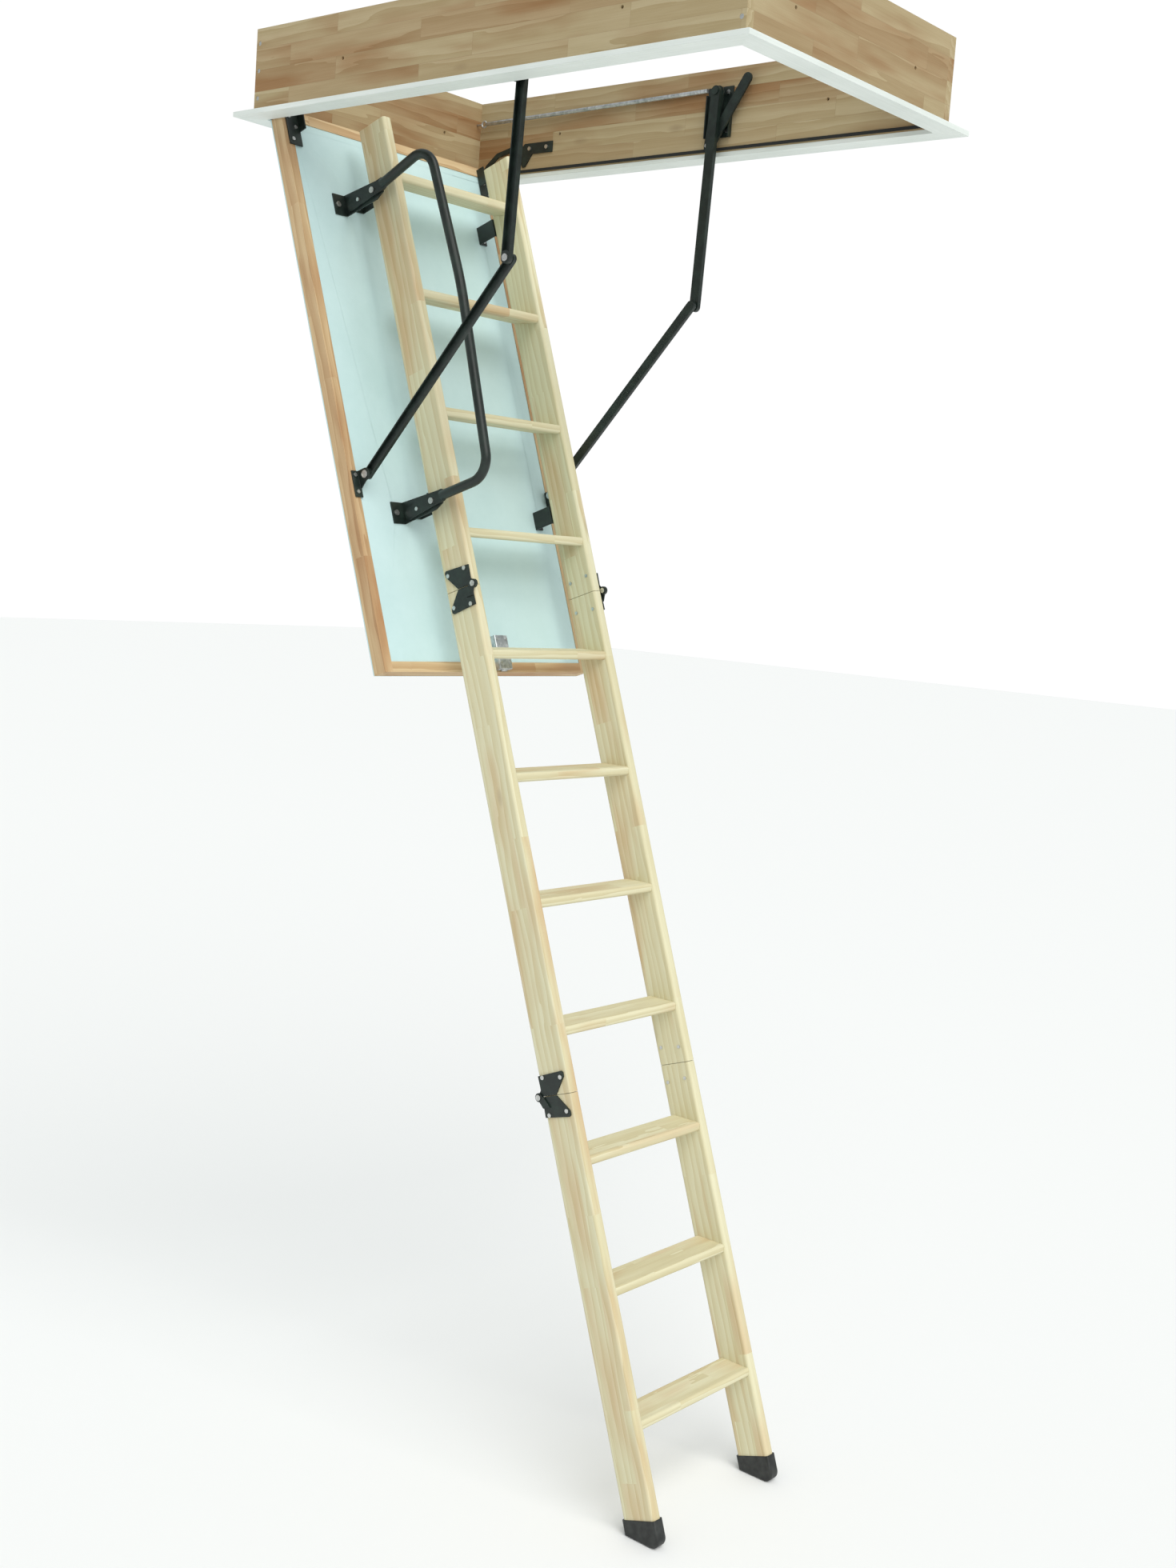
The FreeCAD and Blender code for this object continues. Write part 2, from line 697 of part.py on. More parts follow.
def board_screw(x, z, side, face, head_height=2.5):
    """A round-headed screw square to a long board."""
    shank = pin(x, z, screw_radius, side * (half_width + bracket_screw_depth), side * (face - head_height))
    head = pin(x, z, 4.5, side * face, side * (face - head_height))
    return shank.fuse(head).removeSplitter()


hinge_brackets = []
for side in (-1, 1):
    y0, y1 = sorted((side * (half_width - steel), side * half_width))
    outline = [
        (bracket_x1, bracket_z0), (bracket_x1, bracket_z1), (bracket_x0, bracket_z1),
        (bracket_x0 - 22.0, bracket_z0), (bracket_x0 - 4.0, bracket_z0 - 28.0),
        (bracket_x0 + 4.0, bracket_z0 - 28.0), (bracket_x0 + 24.0, bracket_z0),
    ]
    bracket = plate(outline, y0, y1)
    for start, end in zip(neck_points[:-1], neck_points[1:]):
        bracket = bracket.fuse(strap(start[0], start[1], end[0], end[1], neck_width, y0, y1))
    bracket = bracket.fuse(pin(hinge_x, hinge_height, bracket_eye, y0, y1)).removeSplitter()
    bracket = bracket.cut(pin(hinge_x, hinge_height, hinge_pin_radius + running_clearance, y0, y1))
    for x in bracket_screws:
        screw = board_screw(x, (bracket_z0 + bracket_z1) / 2.0, side, half_width - steel)
        bracket = bracket.cut(screw)
        casing_fasteners.append(screw)
    hinge_brackets.append(bracket)
add("hatch_hinge_brackets", *hinge_brackets)

# Arm brackets: shallow channels on the long boards, which carry the crank pins

arm_x = from_casing_end(crank_x)
arm_bracket_x0 = from_casing_end(669.0)
arm_bracket_x1 = from_casing_end(734.0)
arm_bracket_z0 = 28.0
arm_bracket_z1 = 132.0
lip_depth = 11.0
arm_brackets = []
for side in (-1, 1):
    y0, y1 = sorted((side * (half_width - steel), side * half_width))
    web = box(arm_bracket_x0, arm_bracket_x1, y0, y1, arm_bracket_z0, arm_bracket_z1)
    l0, l1 = sorted((side * (half_width - lip_depth), side * half_width))
    lip_left = box(arm_bracket_x0, arm_bracket_x0 + steel, l0, l1, arm_bracket_z0, arm_bracket_z1 - 16.0)
    lip_right = box(arm_bracket_x1 - steel, arm_bracket_x1, l0, l1, arm_bracket_z0, arm_bracket_z0 + 44.0)
    bracket = web.fuse(lip_left).fuse(lip_right).removeSplitter()
    bracket = bracket.cut(pin(arm_x, crank_z, arm_pin_radius + running_clearance, y0, y1))
    for x in (arm_bracket_x0 + 14.0, arm_bracket_x1 - 12.0):
        for z in (arm_bracket_z0 + 14.0, arm_bracket_z1 - 12.0):
            screw = board_screw(x, z, side, half_width - steel)
            bracket = bracket.cut(screw)
            casing_fasteners.append(screw)
    arm_brackets.append(bracket)
add("arm_brackets", *arm_brackets)

# Spring tubes: a galvanised tube along each long board, from an eye to the arm bracket

tube_radius = 4.5
tube_gap = 0.5
tube_splay = 8.0
tube_x0 = from_casing_end(30.0)
tube_x1 = arm_bracket_x0 - 1.0
tube_y1 = half_width - tube_radius - tube_gap
tube_y0 = tube_y1 - tube_splay
tube_z0 = 119.0
tube_z1 = 127.0
eye_radius = 7.0
eye_wire = 2.0
spring_tubes = []
for side in (-1, 1):
    start = Vector(tube_x0, side * tube_y0, tube_z0)
    run = Vector(tube_x1, side * tube_y1, tube_z1).sub(start)
    tube = Part.makeCylinder(tube_radius, run.Length, start, run)
    eye_x = tube_x0 - eye_radius
    eye = Part.makeTorus(eye_radius, eye_wire, Vector(eye_x, side * tube_y0, tube_z0), Vector(0, 1, 0))
    stem = Part.makeCylinder(eye_wire, eye_x - eye_radius + half_length,
                             Vector(-half_length, side * tube_y0, tube_z0), Vector(1, 0, 0))
    spring_tubes.append(tube.fuse(eye).fuse(stem).removeSplitter())
add("spring_tubes", *spring_tubes)
add("casing_screws", *casing_fasteners)

# ---------------------------------------------------------------------------
# Opening arms: cranked upper arms on the casing, lower arms on the hatch clevises
# ---------------------------------------------------------------------------

knee_wx = from_casing_end(knee_x)
crank_tip_wx = from_casing_end(crank_tip_x)
crank_foot_wx = from_casing_end(crank_foot_x)


boss_share = 0.62


def channel(x0, z0, x1, z1, width, face, thickness, side):
    """A pressed channel bar with its hollow towards the board."""
    inner = face - thickness
    bar = strap(x0, z0, x1, z1, width, side * inner, side * face)
    hollow = strap(x0, z0, x1, z1, width - 2 * arm_wall, side * (inner + arm_wall), side * (face + 1.0))
    for x, z in ((x0, z0), (x1, z1)):
        hollow = hollow.cut(pin(x, z, width * boss_share, side * inner, side * (face + 2.0)))
    return bar.cut(hollow)


knee_rivet_radius = 4.0
knee_head_radius = 7.0
crank_neck_width = 22.0
crank_root_width = 26.0
head_gap = 0.3
upper_arms = []
cranks = []
crank_pins = []
knee_rivets = []
lower_arms = []
clevis_pins = []
clevis_centre = opened(pin(clevis_s, clevis_n, 1.0, 0.0, 1.0)).CenterOfMass
for side in (-1, 1):
    bore = pin(arm_x, crank_z, arm_pin_radius + running_clearance, side * lower_arm_inner,
               side * (half_width + steel))
    arm = channel(arm_x, crank_z, knee_wx, knee_z, upper_arm_width, upper_arm_face, upper_arm_thickness, side)
    rivet_y0 = side * (upper_arm_inner + 0.4)
    knee = pin(knee_wx, knee_z, knee_rivet_radius, rivet_y0, side * (upper_arm_face + 0.5))
    knee = knee.fuse(pin(knee_wx, knee_z, knee_head_radius, side * upper_arm_face,
                         side * (upper_arm_face + 2.5)))
    foot = pin(crank_foot_wx, crank_foot_z, knee_rivet_radius, rivet_y0, side * (crank_face + 1.0))
    foot = foot.fuse(pin(crank_foot_wx, crank_foot_z, 6.0, side * crank_face, side * (crank_face + 2.0)))
    knee_rivets += [knee.removeSplitter(), foot.removeSplitter()]
    upper_arms.append(arm.cut(bore).cut(knee).cut(foot))

    y0, y1 = side * (crank_face - crank_thickness - 1.0), side * crank_face
    crank = strap(crank_foot_wx, crank_foot_z, crank_tip_wx, crank_tip_z, crank_neck_width, y0, y1)
    crank = crank.fuse(strap(arm_x, crank_z, crank_foot_wx, crank_foot_z, crank_root_width, y0, y1))
    cranks.append(crank.removeSplitter().cut(bore).cut(foot))

    axle = pin(arm_x, crank_z, arm_pin_radius, side * (upper_arm_inner - 1.0), side * (half_width - head_gap))
    head = pin(arm_x, crank_z, arm_pin_head_radius, side * (upper_arm_inner - head_gap),
               side * (upper_arm_inner - head_gap - arm_pin_head_height))
    crank_pins.append(axle.fuse(head).removeSplitter())

    lower = channel(clevis_centre.x, clevis_centre.z, knee_wx, knee_z, lower_arm_width,
                    lower_arm_face, lower_arm_thickness, side)
    seat = pin(clevis_centre.x, clevis_centre.z, arm_pin_radius + running_clearance,
               side * (lower_arm_inner - 1.0), side * (lower_arm_face + 1.0))
    lower_arms.append(lower.cut(seat))
    axle = pin(clevis_centre.x, clevis_centre.z, arm_pin_radius, side * (lower_arm_inner - head_gap),
               side * (ear_outer + 1.0))
    head = pin(clevis_centre.x, clevis_centre.z, arm_pin_head_radius, side * (lower_arm_inner - head_gap),
               side * (lower_arm_inner - head_gap - arm_pin_head_height))
    tail = pin(clevis_centre.x, clevis_centre.z, arm_pin_head_radius, side * (ear_outer + head_gap),
               side * (ear_outer + 2.3))
    clevis_pins.append(axle.fuse(head).fuse(tail).removeSplitter())

add("upper_arms", *upper_arms)
add("crank_levers", *cranks)
add("knee_rivets", *knee_rivets)
add("arm_frame_pins", *crank_pins)
add("lower_arms", *lower_arms)
add("arm_hatch_pins", *clevis_pins)

# ---------------------------------------------------------------------------
# Handrail: a bent tube in the plane beside the near stile, on two hatch brackets
# ---------------------------------------------------------------------------

rail_y = ladder_offset - rail_offset
rail_points = [
    (first_tread + 37.0, tread_front - 8.0), (first_tread + 18.0, tread_front + rail_rise - 13.0),
    (first_tread + 324.0, tread_front + rail_rise), (first_tread + 716.0, tread_front + rail_rise - 25.0),
    (first_tread + 713.0, tread_front - 8.0),
]
rail_bends = (45.0, 900.0, 48.0)
tongue_width = 26.0
tongue_thickness = 5.0
tongue_tail = 24.0
rail_feet = (first_tread + 33.0, first_tread + 713.0)
rail_rivets_along = ((0.25, 4.0), (0.7, 6.5))
rail_bracket_half = 23.0
rail_bracket_flange = 34.0
rail_rivet_height = 3.0


def bent_tube(points, bends, y, radius):
    """A tube along straight runs joined by tangent arcs, in one plane."""
    edges = []
    last = Vector(points[0][0], y, points[0][1])
    for i in range(1, len(points) - 1):
        before = Vector(points[i - 1][0], y, points[i - 1][1])
        here = Vector(points[i][0], y, points[i][1])
        after = Vector(points[i + 1][0], y, points[i + 1][1])
        to_before = before.sub(here).normalize()
        to_after = after.sub(here).normalize()
        half = math.acos(max(-1.0, min(1.0, to_before.dot(to_after)))) / 2.0
        cut = bends[i - 1] / math.tan(half)
        start = here.add(Vector(to_before).multiply(cut))
        end = here.add(Vector(to_after).multiply(cut))
        middle_way = to_before.add(to_after).normalize()
        centre = here.add(Vector(middle_way).multiply(bends[i - 1] / math.sin(half)))
        middle = centre.sub(Vector(middle_way).multiply(bends[i - 1]))
        edges.append(Part.LineSegment(last, start).toShape())
        edges.append(Part.Arc(start, middle, end).toShape())
        last = end
    edges.append(Part.LineSegment(last, Vector(points[-1][0], y, points[-1][1])).toShape())
    path = Part.Wire(edges)
    heading = edges[0].tangentAt(edges[0].FirstParameter)
    ring = Part.Wire(Part.makeCircle(radius, edges[0].Vertexes[0].Point, heading))
    return path.makePipeShell([ring], True, False), path.Length


rail, rail_length = bent_tube(rail_points, rail_bends, rail_y, rail_tube_radius)
rail_volume = math.pi * rail_tube_radius ** 2 * rail_length
assert abs(rail.Volume / rail_volume - 1.0) < 0.02

# Each end of the tube is pressed flat into a tongue that lies on its bracket
tongue_y0 = rail_y - tongue_thickness / 2.0
tongue_y1 = rail_y + tongue_thickness / 2.0
rail_brackets = []
rail_rivets = []
for (end_s, end_n), root_s in zip((rail_points[0], rail_points[-1]), rail_feet):
    tail_s = root_s + 7.0
    tail_n = panel_face + tongue_tail
    rail = rail.fuse(strap(end_s, end_n, tail_s, tail_n, tongue_width, tongue_y0, tongue_y1))
    outline = [(root_s - rail_bracket_half, panel_face), (root_s + rail_bracket_half, panel_face),
               (end_s + 22.0, end_n - 26.0), (end_s + 14.0, end_n - 4.0), (end_s - 14.0, end_n - 2.0)]
    web = plate(outline, tongue_y1, tongue_y1 + rail_bracket_thickness)
    foot = box(root_s - rail_bracket_half, root_s + rail_bracket_half,
               tongue_y1 + rail_bracket_thickness - rail_bracket_flange,
               tongue_y1 + rail_bracket_thickness, panel_face, panel_face + rail_bracket_thickness)
    bracket = web.fuse(foot).removeSplitter()
    screw = stud(root_s, tongue_y0 - 15.0, panel_face + rail_bracket_thickness, 16.0, 6.0, 2.5)
    bracket = bracket.cut(screw)
    hatch_fasteners.append(screw)
    for along, size in rail_rivets_along:
        s = tail_s + (end_s - tail_s) * along
        n = tail_n + (end_n - tail_n) * along
        shank = pin(s, n, 3.0, tongue_y0 - rail_rivet_height, tongue_y1 + rail_bracket_thickness + 1.0)
        head = pin(s, n, size, tongue_y0 - rail_rivet_height, tongue_y0)
        rivet = shank.fuse(head).removeSplitter()
        rail_rivets.append(rivet)
    rail_brackets.append(bracket)
rail_rivet_space = Part.makeCompound(rail_rivets)
hatch_fasteners += rail_rivets
add("handrail", opened(rail.removeSplitter().cut(rail_rivet_space)))
add("handrail_brackets", *[opened(shape.cut(rail_rivet_space)) for shape in rail_brackets])

add("hatch_corner_plates", *[opened(shape) for shape in corner_plates])
add("hatch_fasteners", *[opened(shape) for shape in hatch_fasteners])

# Screws bite into the hatch's rails, panel and core
hatch_screw_space = Part.makeCompound([opened(shape) for shape in hatch_fasteners + panel_screws])
for name in ("hatch_side_rails", "hatch_end_rails", "hatch_core", "hatch_top_panel"):
    nodes[name] = nodes[name].cut(hatch_screw_space)
board_screw_space = Part.makeCompound(casing_fasteners[len(board_screws):])
for name in ("board_near", "board_far"):
    nodes[name] = nodes[name].cut(board_screw_space)

for name, shape in sorted(nodes.items()):
    solids = shape.Solids
    if not shape.isValid() or not solids:
        raise ValueError("%s is not a valid solid" % name)
    shape.exportStep("parts/%s.step" % name)
    print(name, len(solids), round(sum(solid.Volume for solid in solids), 1))
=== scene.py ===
import math

import bmesh
import bpy
from mathutils import Matrix, Vector


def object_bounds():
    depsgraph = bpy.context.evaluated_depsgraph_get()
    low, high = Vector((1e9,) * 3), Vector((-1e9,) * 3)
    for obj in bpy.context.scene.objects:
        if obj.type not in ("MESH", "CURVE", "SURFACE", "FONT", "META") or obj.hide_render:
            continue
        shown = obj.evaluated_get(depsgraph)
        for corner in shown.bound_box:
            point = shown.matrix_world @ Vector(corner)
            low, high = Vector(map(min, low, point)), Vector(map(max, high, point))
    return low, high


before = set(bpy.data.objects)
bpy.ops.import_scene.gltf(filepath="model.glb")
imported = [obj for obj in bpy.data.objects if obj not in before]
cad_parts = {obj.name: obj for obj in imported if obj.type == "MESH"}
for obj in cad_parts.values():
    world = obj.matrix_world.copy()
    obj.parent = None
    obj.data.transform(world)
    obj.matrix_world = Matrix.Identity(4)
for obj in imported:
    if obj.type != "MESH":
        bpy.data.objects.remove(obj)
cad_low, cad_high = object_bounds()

# --- Room ------------------------------------------------------------------
# A matt pale floor just under the ladder's feet, in a white studio with one large softbox
# that stands high on the free-end side.
floor_size = 60.0
floor_gap = 0.0005
floor_mesh = bpy.data.meshes.new("studio_floor")
floor_shape = bmesh.new()
bmesh.ops.create_grid(floor_shape, x_segments=1, y_segments=1, size=floor_size / 2)
bmesh.ops.translate(floor_shape, verts=floor_shape.verts, vec=(0, 0, cad_low[2] - floor_gap))
floor_shape.to_mesh(floor_mesh)
floor_shape.free()
floor = bpy.data.objects.new("studio_floor", floor_mesh)
bpy.context.collection.objects.link(floor)


def linear(hex_colour):
    """An sRGB hex colour as the linear values that a shader takes."""
    channels = [int(hex_colour[i:i + 2], 16) / 255 for i in (1, 3, 5)]
    return tuple(c / 12.92 if c <= 0.04045 else ((c + 0.055) / 1.055) ** 2.4 for c in channels) + (1.0,)


def add_node(tree, kind, inputs=None, **settings):
    """Adds one node to a material, with its settings, values and links."""
    node = tree.nodes.new(kind)
    for key, value in settings.items():
        setattr(node, key, value)
    for key, value in (inputs or {}).items():
        if isinstance(value, bpy.types.NodeSocket):
            tree.links.new(value, node.inputs[key])
        else:
            node.inputs[key].default_value = value
    return node


def blank_material(name):
    """A material with only its output, and its tree."""
    material = bpy.data.materials.new(name)
    material.use_nodes = True
    material.node_tree.nodes.clear()
    return material, material.node_tree


floor_paint, tree = blank_material("matt_floor_paint")
shader = add_node(tree, "ShaderNodeBsdfPrincipled", {"Base Color": linear("#f3f4f4"), "Roughness": 0.9})
add_node(tree, "ShaderNodeOutputMaterial", {"Surface": shader.outputs["BSDF"]})
floor_mesh.materials.append(floor_paint)

# The backdrop is plain white. It lights the object at about half that strength, so that the
# softbox can shade one side of each stile and tread.
backdrop_strength = 1.02
fill_strength = 0.56
world = bpy.data.worlds.new("studio_light")
bpy.context.scene.world = world
world.use_nodes = True
tree = world.node_tree
tree.nodes.clear()
backdrop = add_node(tree, "ShaderNodeBackground",
                    {"Color": (1.0, 1.0, 1.0, 1.0), "Strength": backdrop_strength})
fill = add_node(tree, "ShaderNodeBackground", {"Color": (0.95, 0.99, 1.0, 1.0), "Strength": fill_strength})
path = add_node(tree, "ShaderNodeLightPath")
split = add_node(tree, "ShaderNodeMixShader", {0: path.outputs["Is Camera Ray"],
                                               1: fill.outputs["Background"],
                                               2: backdrop.outputs["Background"]})
add_node(tree, "ShaderNodeOutputWorld", {"Surface": split.outputs["Shader"]})
bpy.context.scene.view_settings.view_transform = "Standard"

softbox_strength = 2.3
softbox_spread = math.radians(55)
softbox_side = Vector((0.62, -0.3, 0.72))
key = bpy.data.lights.new("key_softbox", "SUN")
key.energy = softbox_strength
key.angle = softbox_spread
key.color = (1.0, 0.985, 0.95)
key_lamp = bpy.data.objects.new("key_softbox", key)
key_lamp.rotation_euler = softbox_side.to_track_quat("Z", "Y").to_euler()
bpy.context.collection.objects.link(key_lamp)

# --- Camera ----------------------------------------------------------------
# Stands beyond the free end, on the near side, at about head height, and looks a little
# down along the ladder with a slight roll.
camera_place = Vector((2.4871, -2.8253, -0.8842))
camera_heading = math.radians(129.857)
camera_tilt = math.radians(-6.888)
camera_roll = math.radians(4.164)
lens_mm = 41.44
sensor_mm = 36.0
forward = Vector((math.cos(camera_heading) * math.cos(camera_tilt),
                  math.sin(camera_heading) * math.cos(camera_tilt), math.sin(camera_tilt)))
level_right = Vector((math.sin(camera_heading), -math.cos(camera_heading), 0.0))
level_up = level_right.cross(forward)
right = math.cos(camera_roll) * level_right + math.sin(camera_roll) * level_up
up = math.cos(camera_roll) * level_up - math.sin(camera_roll) * level_right
camera_data = bpy.data.cameras.new("camera")
camera_data.sensor_width = sensor_mm
camera_data.sensor_fit = "AUTO"
camera_data.lens = lens_mm
camera_data.clip_start = 0.05
camera = bpy.data.objects.new("camera", camera_data)
turn = Matrix((right, up, -forward)).transposed()
camera.matrix_world = Matrix.Translation(camera_place) @ turn.to_4x4()
bpy.context.collection.objects.link(camera)
bpy.context.scene.camera = camera

# --- Casing boards ---------------------------------------------------------
# Four planed pine boards on edge, each glued up from short finger-jointed strips that
# differ in tint from pinkish tan to olive. Bare wood, so only a faint sheen.
strip_height = 0.043
strip_length = 0.38
glue_line = 0.0003
knot_strength = 0.3
# the sockets of a Mix node that take its two colours, and the one that gives the mixed one
first_colour, second_colour, mixed_colour = 6, 7, 2


def pine(name, pale, dark, blush, grain_turn, strips):
    """Bare pine. grain_turn lays X along the grain. strips is 1 for glued strips, 0 for whole wood."""
    material, tree = blank_material(name)
    coords = add_node(tree, "ShaderNodeTexCoord")
    lie = add_node(tree, "ShaderNodeMapping", {"Vector": coords.outputs["Object"], "Rotation": grain_turn})
    # glued strips: each brick is one strip, and its random grey is that strip's tint
    glue = add_node(tree, "ShaderNodeTexBrick",
                    {"Vector": lie.outputs["Vector"], "Color1": (0, 0, 0, 1), "Color2": (1, 1, 1, 1),
                     "Mortar": (0.5, 0.5, 0.5, 1), "Scale": 1.0, "Mortar Size": glue_line,
                     "Mortar Smooth": 0.4, "Brick Width": strip_length, "Row Height": strip_height},
                    offset=0.37, squash=1.0)
    # each strip is cut from another place in the tree
    offset = add_node(tree, "ShaderNodeVectorMath",
                      {0: glue.outputs["Color"], 1: (0.7, 0.09 * strips, 0.11 * strips)},
                      operation="MULTIPLY")
    shifted = add_node(tree, "ShaderNodeVectorMath",
                       {0: lie.outputs["Vector"], 1: offset.outputs["Vector"]}, operation="ADD")
    # growth rings 6 to 12 mm apart, drawn out into long flames
    ring_lie = add_node(tree, "ShaderNodeMapping",
                        {"Vector": shifted.outputs["Vector"], "Location": (0.0, 0.9, 1.7),
                         "Scale": (1.4, 14.0, 14.0)})
    rings = add_node(tree, "ShaderNodeTexWave",
                     {"Vector": ring_lie.outputs["Vector"], "Scale": 1.5, "Distortion": 9.0, "Detail": 3.0,
                      "Detail Scale": 0.9, "Detail Roughness": 0.6},
                     wave_type="RINGS", rings_direction="X", wave_profile="SAW")
    # fibres: streaks about a millimetre wide and 120 mm long
    fibre_lie = add_node(tree, "ShaderNodeMapping",
                         {"Vector": shifted.outputs["Vector"], "Scale": (8.0, 420.0, 420.0)})
    fibres = add_node(tree, "ShaderNodeTexNoise", {"Vector": fibre_lie.outputs["Vector"], "Scale": 1.0,
                                                   "Detail": 5.0, "Roughness": 0.65})
    # heartwood patches: broad and pinkish, drawn out along the grain
    patch_lie = add_node(tree, "ShaderNodeMapping",
                         {"Vector": shifted.outputs["Vector"], "Scale": (2.6, 12.0, 12.0)})
    patches = add_node(tree, "ShaderNodeTexNoise", {"Vector": patch_lie.outputs["Vector"], "Scale": 1.0,
                                                    "Detail": 3.0})
    # knots: a few dark eyes about 10 mm across
    knot_lie = add_node(tree, "ShaderNodeMapping",
                        {"Vector": shifted.outputs["Vector"], "Scale": (3.4, 9.5, 9.5)})
    knot_cells = add_node(tree, "ShaderNodeTexVoronoi", {"Vector": knot_lie.outputs["Vector"], "Scale": 1.0,
                                                         "Randomness": 1.0})
    knot_edge = add_node(tree, "ShaderNodeMapRange", {"Value": knot_cells.outputs["Distance"],
                                                      "From Min": 0.04, "From Max": 0.1,
                                                      "To Min": knot_strength, "To Max": 0.0})
    soft_rings = add_node(tree, "ShaderNodeMath", {0: rings.outputs["Fac"], 1: 0.5}, operation="MULTIPLY")
    grain = add_node(tree, "ShaderNodeMath", {0: fibres.outputs["Fac"], 1: 0.6, 2: soft_rings.outputs[0]},
                     operation="MULTIPLY_ADD")
    ramp = add_node(tree, "ShaderNodeValToRGB", {"Fac": grain.outputs[0]})
    ramp.color_ramp.elements[0].position = 0.2
    ramp.color_ramp.elements[0].color = linear(pale)
    ramp.color_ramp.elements[1].position = 1.0
    ramp.color_ramp.elements[1].color = linear(dark)
    strip_blush = add_node(tree, "ShaderNodeMath", {0: glue.outputs["Color"], 1: 0.7 * strips},
                           operation="MULTIPLY")
    patch_blush = add_node(tree, "ShaderNodeMapRange", {"Value": patches.outputs["Fac"], "From Min": 0.5,
                                                        "From Max": 0.72, "To Min": 0.0, "To Max": 0.75})
    blush_amount = add_node(tree, "ShaderNodeMath", {0: strip_blush.outputs[0], 1: patch_blush.outputs[0]},
                            operation="ADD", use_clamp=True)
    blushed = add_node(tree, "ShaderNodeMix",
                       {"Factor": blush_amount.outputs[0], first_colour: ramp.outputs["Color"],
                        second_colour: linear(blush)},
                       data_type="RGBA", blend_type="MULTIPLY")
    knotted = add_node(tree, "ShaderNodeMix",
                       {"Factor": knot_edge.outputs["Result"], first_colour: blushed.outputs[mixed_colour],
                        second_colour: linear("#6f5238")},
                       data_type="RGBA")
    seam_dark = add_node(tree, "ShaderNodeMath", {0: glue.outputs["Fac"], 1: 0.35 * strips},
                         operation="MULTIPLY")
    colour = add_node(tree, "ShaderNodeMix",
                      {"Factor": seam_dark.outputs[0], first_colour: knotted.outputs[mixed_colour],
                       second_colour: linear("#7c664b")},
                      data_type="RGBA")
    sheen = add_node(tree, "ShaderNodeMapRange", {"Value": fibres.outputs["Fac"], "To Min": 0.5,
                                                  "To Max": 0.72})
    relief = add_node(tree, "ShaderNodeBump", {"Height": grain.outputs[0], "Strength": 0.3,
                                               "Distance": 0.0004})
    shader = add_node(tree, "ShaderNodeBsdfPrincipled",
                      {"Base Color": colour.outputs[mixed_colour], "Roughness": sheen.outputs["Result"],
                       "Normal": relief.outputs["Normal"], "IOR": 1.45, "Specular IOR Level": 0.35})
    add_node(tree, "ShaderNodeOutputMaterial", {"Surface": shader.outputs["BSDF"]})
    return material


weld_distance = 0.00001
ease_steps = 2
sharp_angle = math.radians(40)


def finish_node(name, material, edge_mm=0.6):
    """Gives a CAD node its finish, and eases its sharp edges by edge_mm unless that is 0."""
    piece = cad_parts[name]
    for slot in piece.material_slots:
        slot.material = material
    if edge_mm:
        weld = piece.modifiers.new("weld", "WELD")
        weld.merge_threshold = weld_distance
        ease = piece.modifiers.new("eased_edges", "BEVEL")
        ease.width = edge_mm / 1000
        ease.segments = ease_steps
        ease.limit_method = "ANGLE"
        ease.angle_limit = sharp_angle
        ease.use_clamp_overlap = True


quarter = math.radians(90)
long_board_pine = pine("finger_jointed_pine_long_boards", "#bcae8c", "#a39069", "#d8b7a0",
                       (-quarter, 0, 0), strips=1.0)
end_board_pine = pine("finger_jointed_pine_end_boards", "#b8a986", "#9f8b66", "#d6b49d",
                      (-quarter, -quarter, 0), strips=1.0)
for name in ("board_near", "board_far"):
    finish_node(name, long_board_pine, 0.8)
for name in ("board_hinge_end", "board_free_end"):
    finish_node(name, end_board_pine, 0.8)

# --- Trim ------------------------------------------------------------------
# Flat strips under the boards, mitred at the corners and primed off-white. The roller
# leaves a fine orange peel and the wood's grain just telegraphs through.


def primed_trim(name, grain_turn):
    """Off-white primer on a planed strip, rolled on thinly."""
    material, tree = blank_material(name)
    coords = add_node(tree, "ShaderNodeTexCoord")
    lie = add_node(tree, "ShaderNodeMapping", {"Vector": coords.outputs["Object"], "Rotation": grain_turn})
    streak_lie = add_node(tree, "ShaderNodeMapping", {"Vector": lie.outputs["Vector"],
                                                      "Scale": (6.0, 260.0, 260.0)})
    streaks = add_node(tree, "ShaderNodeTexNoise", {"Vector": streak_lie.outputs["Vector"], "Scale": 1.0,
                                                    "Detail": 4.0})
    stipple = add_node(tree, "ShaderNodeTexNoise", {"Vector": lie.outputs["Vector"], "Scale": 900.0,
                                                    "Detail": 2.0})
    clouds = add_node(tree, "ShaderNodeTexNoise",
                      {"Vector": lie.outputs["Vector"], "Scale": 5.0, "Detail": 3.0})
    mixed = add_node(tree, "ShaderNodeMath", {0: streaks.outputs["Fac"], 1: 0.5, 2: clouds.outputs["Fac"]},
                     operation="MULTIPLY_ADD")
    ramp = add_node(tree, "ShaderNodeValToRGB", {"Fac": mixed.outputs[0]})
    ramp.color_ramp.elements[0].position = 0.35
    ramp.color_ramp.elements[0].color = linear("#d0d8d2")
    ramp.color_ramp.elements[1].position = 1.1
    ramp.color_ramp.elements[1].color = linear("#e6ece8")
    height = add_node(tree, "ShaderNodeMath",
                      {0: stipple.outputs["Fac"], 1: 0.4, 2: streaks.outputs["Fac"]},
                      operation="MULTIPLY_ADD")
    relief = add_node(tree, "ShaderNodeBump", {"Height": height.outputs[0], "Strength": 0.25,
                                               "Distance": 0.0003})
    shader = add_node(tree, "ShaderNodeBsdfPrincipled",
                      {"Base Color": ramp.outputs["Color"], "Roughness": 0.55,
                       "Normal": relief.outputs["Normal"]})
    add_node(tree, "ShaderNodeOutputMaterial", {"Surface": shader.outputs["BSDF"]})
    return material


